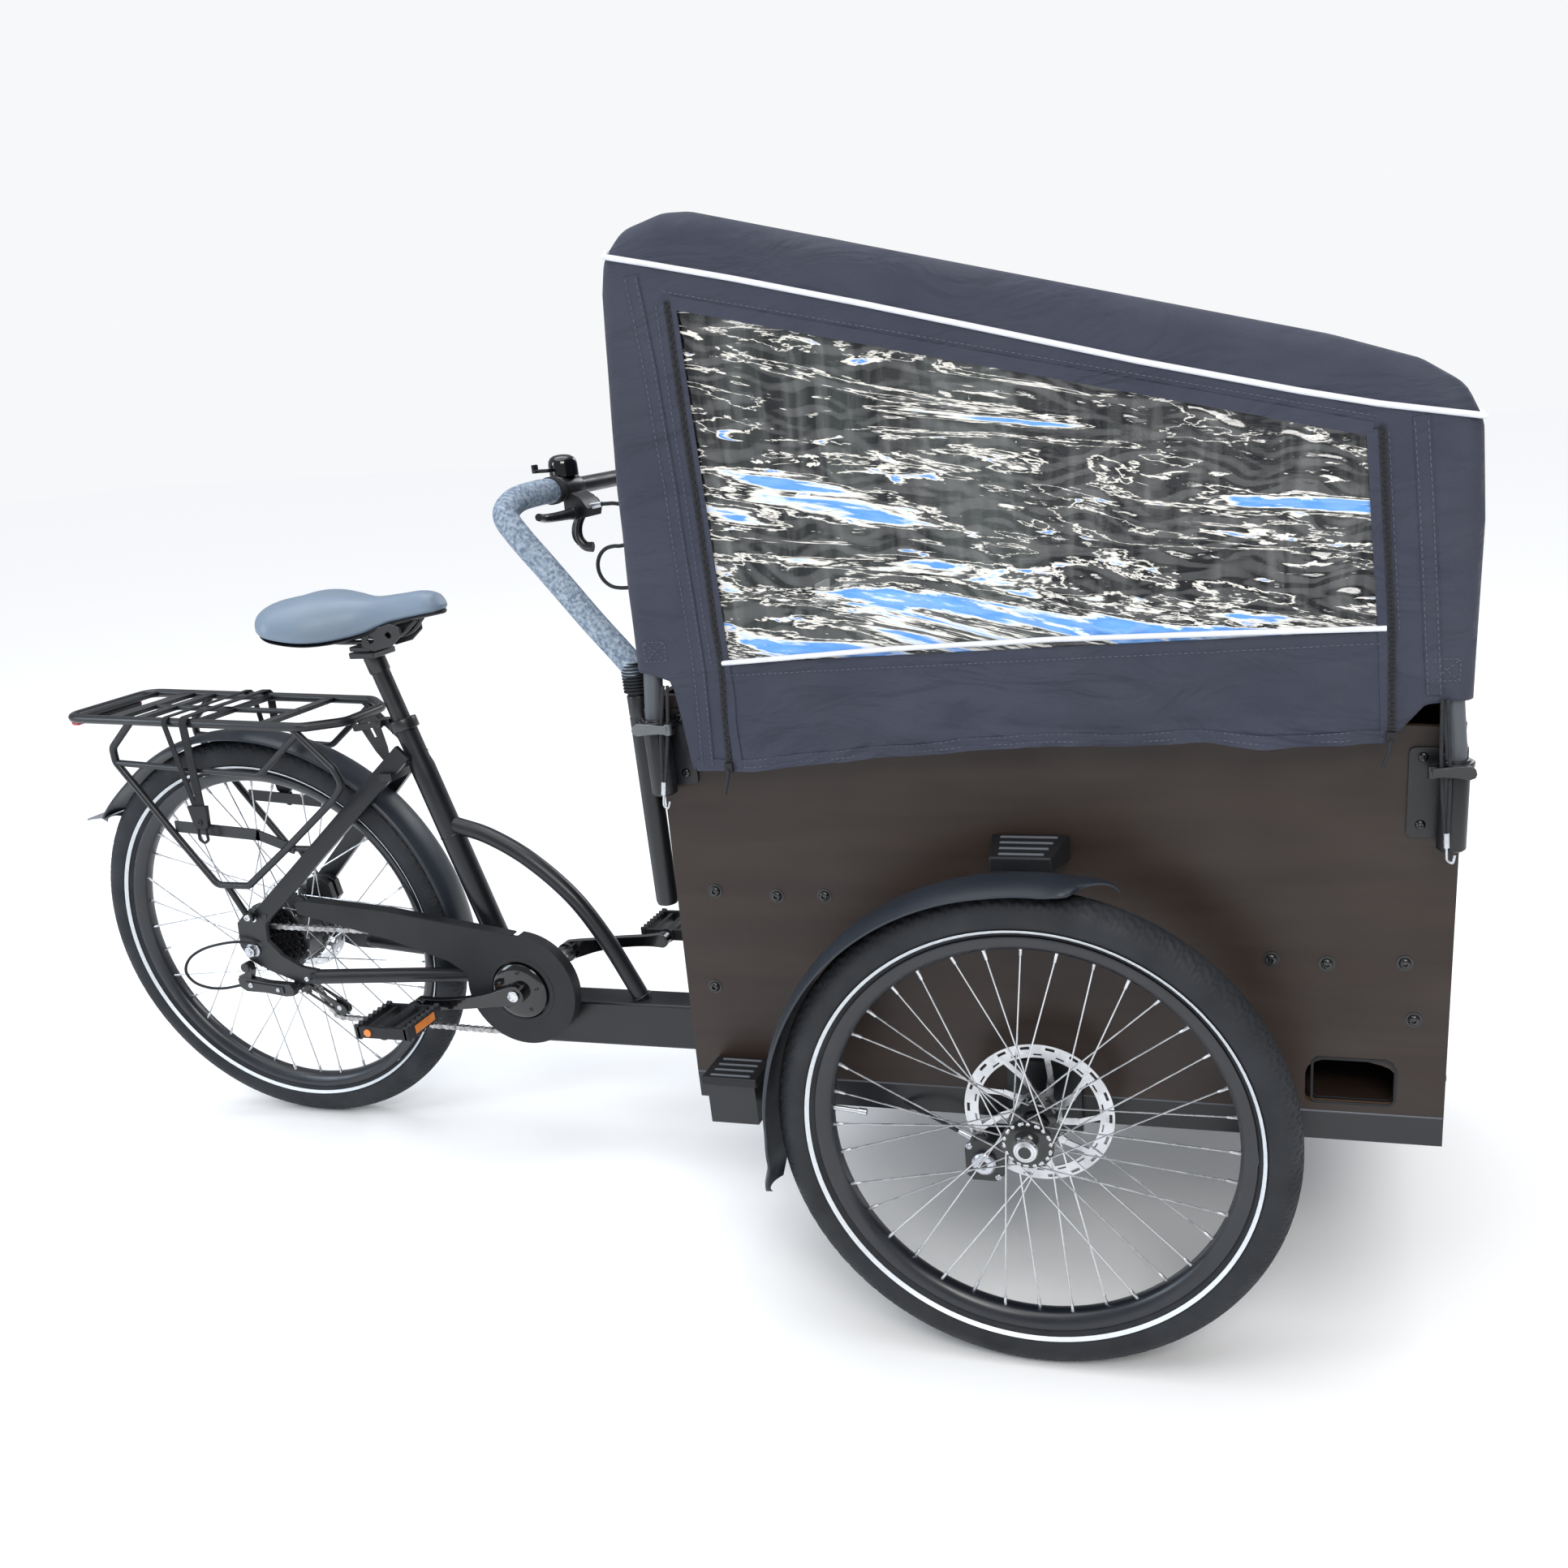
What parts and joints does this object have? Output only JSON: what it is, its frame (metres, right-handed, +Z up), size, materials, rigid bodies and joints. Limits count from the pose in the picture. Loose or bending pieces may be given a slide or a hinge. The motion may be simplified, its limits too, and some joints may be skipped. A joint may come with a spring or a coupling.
{
  "type": "cargo tricycle",
  "caption": "Front-loading cargo tricycle with a plywood box, a sloping fabric canopy with clear side windows, a steered front carrier and a chain-driven rear wheel.",
  "frame": {"origin": "middle of the footprint, on the ground under the middle of the whole tricycle", "axes": "+X forwards (towards the cargo box), +Y to the rider's left, +Z up"},
  "size_m": [2.1257, 0.91, 1.309],
  "materials": {
    "frame_paint": "satin black powder coat",
    "black_plastic": "matt moulded",
    "fender": "matt blue-black moulded",
    "alloy": "satin",
    "black_alloy": "satin black anodised",
    "steel": "bright",
    "tyre": "matt rubber with a reflective stripe",
    "plywood": "film-faced plywood, satin",
    "canvas": "coated polyester weave",
    "pole": "satin grey",
    "saddle": "smooth light grey-blue cover",
    "webbing": "black webbing",
    "red_lens": "glossy"
  },
  "bodies": {
    "rear_frame": {"main_frame": "frame_paint", "rear_axle": "alloy", "rear_fender": "fender", "rear_rack": "frame_paint", "rack_strap": "webbing", "tail_light": "red_lens", "chain_guard": "black_plastic", "chain": "steel", "derailleur": "black_alloy", "rear_caliper": "black_alloy", "seat_clamp": "black_alloy"},
    "front_carrier": {"base_frame": "frame_paint", "box_floor": "plywood", "box_side_right": "plywood", "box_side_left": "plywood", "box_front": "plywood", "box_rear": "plywood", "bench_rear": "plywood", "bench_front": "plywood", "upper_step_right": "black_plastic", "upper_step_left": "black_plastic", "front_caliper_right": "black_alloy", "front_caliper_left": "black_alloy", "front_fender_right": "fender", "front_fender_left": "fender", "rear_bracket_right": "frame_paint", "rear_bracket_left": "frame_paint", "front_bracket_right": "frame_paint", "front_bracket_left": "frame_paint"},
    "seat": {"seat_post": "black_alloy", "saddle_base": "black_plastic", "saddle_cover": "saddle"},
    "seat_lever": {"seat_lever": "black_alloy"},
    "crank": {"crank_spindle": "steel", "chainring": "black_alloy", "crank_right": "alloy", "crank_left": "black_alloy"},
    "pedal_right": {"pedal_right": "black_plastic"},
    "pedal_left": {"pedal_left": "black_plastic"},
    "rear_wheel": {"rear_tyre": "tyre", "rear_rim": "black_alloy", "rear_hub": "black_alloy"},
    "cassette": {"cassette": "steel"},
    "front_wheel_right": {"front_tyre_right": "tyre", "front_rim_right": "black_alloy", "front_hub_right": "black_alloy"},
    "front_wheel_left": {"front_tyre_left": "tyre", "front_rim_left": "black_alloy", "front_hub_left": "black_alloy"},
    "rear_clamp_lever_right": {"rear_clamp_lever_right": "alloy"},
    "rear_clamp_lever_left": {"rear_clamp_lever_left": "alloy"},
    "front_clamp_lever_right": {"front_clamp_lever_right": "black_alloy"},
    "front_clamp_lever_left": {"front_clamp_lever_left": "black_alloy"},
    "handlebar": {"handlebar": "black_alloy"},
    "brake_lever_right": {"brake_lever_right": "black_alloy"},
    "brake_lever_left": {"brake_lever_left": "black_alloy"},
    "shift_lever": {"shift_lever": "black_plastic"},
    "bell_lever": {"bell_lever": "black_plastic"},
    "canopy": {"canopy_cover": "canvas", "canopy_frame": "pole"}
  },
  "joints": [
    {"name": "steer", "type": "hinge", "parent": "rear_frame", "child": "front_carrier", "pos_m": [0.4491, 0, 0.27], "axis": [0, 0, 1], "range_deg": [-40, 40]},
    {"name": "rear_wheel_spin", "type": "hinge", "parent": "rear_frame", "child": "rear_wheel", "pos_m": [-0.7336, 0, 0.3295], "axis": [0, 1, 0], "continuous": true},
    {"name": "front_wheel_right_spin", "type": "hinge", "parent": "front_carrier", "child": "front_wheel_right", "pos_m": [0.5991, -0.42, 0.3035], "axis": [0, 1, 0], "continuous": true},
    {"name": "front_wheel_left_spin", "type": "hinge", "parent": "front_carrier", "child": "front_wheel_left", "pos_m": [0.5991, 0.42, 0.3035], "axis": [0, 1, 0], "continuous": true},
    {"name": "crank_spin", "type": "hinge", "parent": "rear_frame", "child": "crank", "pos_m": [-0.2659, 0, 0.278], "axis": [0, 1, 0], "continuous": true},
    {"name": "cassette_spin", "type": "hinge", "parent": "rear_frame", "child": "cassette", "pos_m": [-0.7336, -0.047, 0.3295], "axis": [0, 1, 0], "continuous": true},
    {"name": "pedal_right_spin", "type": "hinge", "parent": "crank", "child": "pedal_right", "pos_m": [-0.43425, -0.147, 0.25434], "axis": [0, 1, 0], "continuous": true},
    {"name": "pedal_left_spin", "type": "hinge", "parent": "crank", "child": "pedal_left", "pos_m": [-0.09755, 0.147, 0.30166], "axis": [0, 1, 0], "continuous": true},
    {"name": "seat_height", "type": "slide", "parent": "rear_frame", "child": "seat", "axis": [-0.2616, 0, 0.9652], "range_m": [-0.04, 0.1]},
    {"name": "seat_lever_swing", "type": "hinge", "parent": "rear_frame", "child": "seat_lever", "pos_m": [-0.4619, -0.0158, 0.686], "axis": [0, 0, 1], "range_deg": [0, 120]},
    {"name": "handlebar_height", "type": "slide", "parent": "front_carrier", "child": "handlebar", "axis": [0, 0, 1], "range_m": [0, 0.08]},
    {"name": "brake_right_squeeze", "type": "hinge", "parent": "handlebar", "child": "brake_lever_right", "pos_m": [0.0191, -0.2, 1], "axis": [0, 0, -1], "range_deg": [0, 8], "stiffness_Nm_per_rad": 0.4},
    {"name": "brake_left_squeeze", "type": "hinge", "parent": "handlebar", "child": "brake_lever_left", "pos_m": [0.0191, 0.2, 1], "axis": [0, 0, 1], "range_deg": [0, 8], "stiffness_Nm_per_rad": 0.4},
    {"name": "shift_lever_press", "type": "hinge", "parent": "handlebar", "child": "shift_lever", "pos_m": [0.0191, -0.147, 1.007], "axis": [0, -1, 0], "range_deg": [0, 20], "stiffness_Nm_per_rad": 0.4},
    {"name": "bell_lever_flick", "type": "hinge", "parent": "handlebar", "child": "bell_lever", "pos_m": [-0.0009, -0.172, 1.052], "axis": [0, 0, 1], "range_deg": [0, 25], "stiffness_Nm_per_rad": 0.05},
    {"name": "canopy_lift", "type": "slide", "parent": "front_carrier", "child": "canopy", "axis": [0, 0, 1], "range_m": [0, 0.12]},
    {"name": "rear_clamp_right_swing", "type": "hinge", "parent": "front_carrier", "child": "rear_clamp_lever_right", "pos_m": [0.1841, -0.3548, 0.767], "axis": [0, 0, 1], "range_deg": [0, 110]},
    {"name": "rear_clamp_left_swing", "type": "hinge", "parent": "front_carrier", "child": "rear_clamp_lever_left", "pos_m": [0.1841, 0.3548, 0.767], "axis": [0, 0, -1], "range_deg": [0, 110]},
    {"name": "front_clamp_right_swing", "type": "hinge", "parent": "front_carrier", "child": "front_clamp_lever_right", "pos_m": [1.0201, -0.3548, 0.721], "axis": [0, 0, -1], "range_deg": [0, 110]},
    {"name": "front_clamp_left_swing", "type": "hinge", "parent": "front_carrier", "child": "front_clamp_lever_left", "pos_m": [1.0201, 0.3548, 0.721], "axis": [0, 0, 1], "range_deg": [0, 110]}
  ],
  "couplings": [
    {"joint": "cassette_spin", "follows": "crank_spin", "ratio": 2.66}
  ]
}
